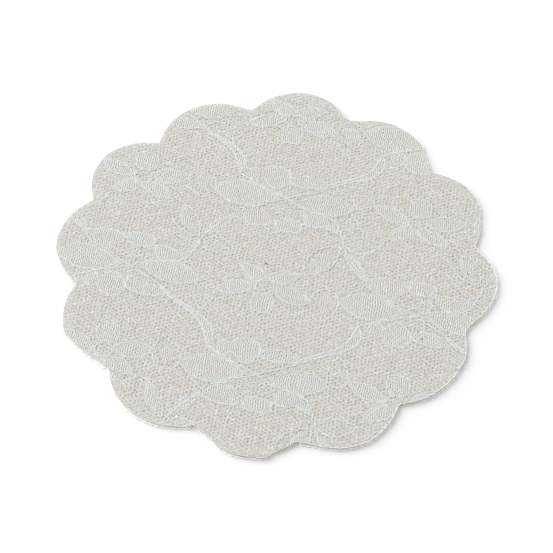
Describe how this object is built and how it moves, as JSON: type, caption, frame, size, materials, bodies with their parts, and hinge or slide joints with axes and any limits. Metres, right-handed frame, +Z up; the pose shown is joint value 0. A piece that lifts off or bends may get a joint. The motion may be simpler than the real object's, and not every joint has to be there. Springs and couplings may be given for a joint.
{
  "type": "scalloped lace doily",
  "caption": "Round flat doily with a scalloped edge: a plain woven cotton backing under a flower lace with leaves and corded stems.",
  "frame": {"origin": "on the underside, under the middle of the outline's box", "axes": "+Z up out of the lace side; +X and +Y in the plane of the doily, with the lace's courses 11 degrees clockwise of +X"},
  "size_m": [0.149, 0.1502, 0.0023],
  "materials": {
    "backing": "unbleached plain-woven cotton, matt, with a few brown seed flecks",
    "lace": "off-white warp-knit flower lace, matt, with corded outlines"
  },
  "bodies": {
    "root": {"backing_cloth": "backing", "lace": "lace"}
  },
  "joints": []
}
